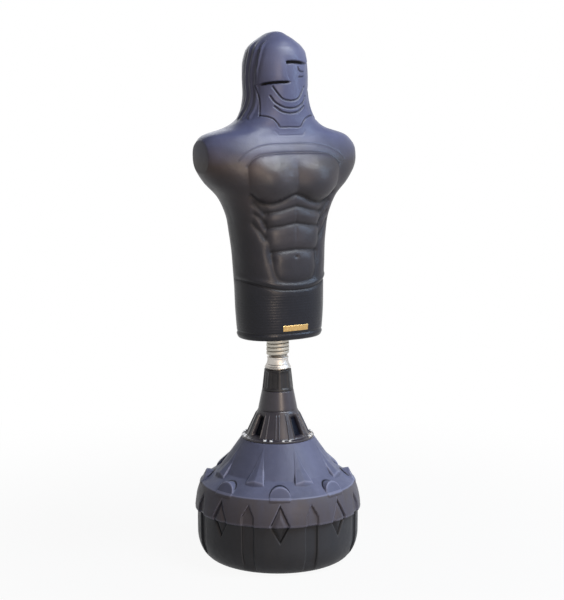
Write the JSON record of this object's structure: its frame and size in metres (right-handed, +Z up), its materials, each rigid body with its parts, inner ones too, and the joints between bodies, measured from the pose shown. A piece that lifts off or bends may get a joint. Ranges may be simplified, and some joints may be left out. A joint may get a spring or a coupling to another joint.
{
  "type": "boxing dummy",
  "caption": "Free-standing boxing dummy: moulded head and torso on a sprung neck, with a twist-lock telescopic mast and a round ballast base.",
  "frame": {"origin": "on the floor under the mast's axis, at the centre of the base", "axes": "+Z up along the mast, the figure faces -Y, +X to the figure's left"},
  "size_m": [0.5506, 0.5426, 1.7],
  "materials": {
    "tank_plastic": "satin",
    "sand": "matte",
    "slate_plastic": "gloss",
    "black_plastic": "satin",
    "white_nylon": "satin",
    "zinc_steel": "satin",
    "spring_steel": "satin",
    "satin_aluminium": "satin",
    "bronze": "satin",
    "rubber": "matte",
    "foam": "matte",
    "navy_skin": "satin"
  },
  "bodies": {
    "base": {"base_tank": "tank_plastic", "ballast_sand": "sand", "cone_cover": "slate_plastic", "guide_tube": "zinc_steel", "guide_bush": "white_nylon", "collet": "white_nylon", "flange_bolt_01": "zinc_steel", "flange_bolt_02": "zinc_steel", "flange_bolt_03": "zinc_steel", "flange_bolt_04": "zinc_steel", "flange_bolt_05": "zinc_steel", "flange_bolt_06": "zinc_steel", "flange_bolt_07": "zinc_steel", "flange_bolt_08": "zinc_steel", "flange_bolt_09": "zinc_steel", "flange_bolt_10": "zinc_steel", "flange_bolt_11": "zinc_steel", "flange_bolt_12": "zinc_steel", "flange_bolt_13": "zinc_steel", "flange_bolt_14": "zinc_steel", "flange_bolt_15": "zinc_steel", "flange_bolt_16": "zinc_steel"},
    "lock_ring": {"slip_ring": "white_nylon"},
    "collar": {"lock_collar": "black_plastic"},
    "cap_seal": {"filler_seal": "rubber"},
    "cap": {"filler_cap": "black_plastic"},
    "mast": {"mast": "satin_aluminium", "mast_foot_bush": "white_nylon", "thrust_washer": "bronze", "swivel_washer": "zinc_steel", "swivel_bolt": "zinc_steel"},
    "seat": {"spring_seat": "satin_aluminium"},
    "spring": {"neck_spring": "spring_steel"},
    "figure": {"spring_plug": "satin_aluminium", "core_plate": "zinc_steel", "core_tube": "zinc_steel", "core_cap": "white_nylon", "neck_cup": "black_plastic", "plug_screw_1": "zinc_steel", "plug_screw_2": "zinc_steel", "plug_screw_3": "zinc_steel", "plug_screw_4": "zinc_steel", "figure_foam": "foam", "figure_skin": "navy_skin"}
  },
  "joints": [
    {"name": "mast_height", "type": "slide", "parent": "base", "child": "mast", "axis": [0, 0, 1], "range_m": [0, 0.18]},
    {"name": "figure_turn", "type": "hinge", "parent": "mast", "child": "seat", "pos_m": [0, 0, 0.625], "axis": [0, 0, 1], "continuous": true},
    {"name": "neck_bend_forward", "type": "hinge", "parent": "seat", "child": "spring", "pos_m": [0, 0, 0.70825], "axis": [1, 0, 0], "range_deg": [-25, 25], "stiffness_Nm_per_rad": 900, "deforming": ["neck_spring"]},
    {"name": "neck_bend_side", "type": "hinge", "parent": "spring", "child": "figure", "pos_m": [0, 0, 0.70825], "axis": [0, 1, 0], "range_deg": [-25, 25], "stiffness_Nm_per_rad": 900, "deforming": ["neck_spring"]},
    {"name": "lock_travel", "type": "slide", "parent": "base", "child": "lock_ring", "axis": [0, 0, 1], "range_m": [0, 0.00251]},
    {"name": "lock_turn", "type": "hinge", "parent": "lock_ring", "child": "collar", "pos_m": [0, 0, 0.5517], "axis": [0, 0, 1], "range_deg": [0, 300]},
    {"name": "cap_travel", "type": "slide", "parent": "base", "child": "cap_seal", "axis": [0, 0, 1], "range_m": [0, 0.00801]},
    {"name": "cap_turn", "type": "hinge", "parent": "cap_seal", "child": "cap", "pos_m": [0.10776, 0.18893, 0.31], "axis": [0, 0, 1], "range_deg": [0, 720]}
  ],
  "couplings": [
    {"joint": "lock_travel", "follows": "lock_turn", "m_per_rad": 0.00047746},
    {"joint": "cap_travel", "follows": "cap_turn", "m_per_rad": 0.00063662}
  ]
}
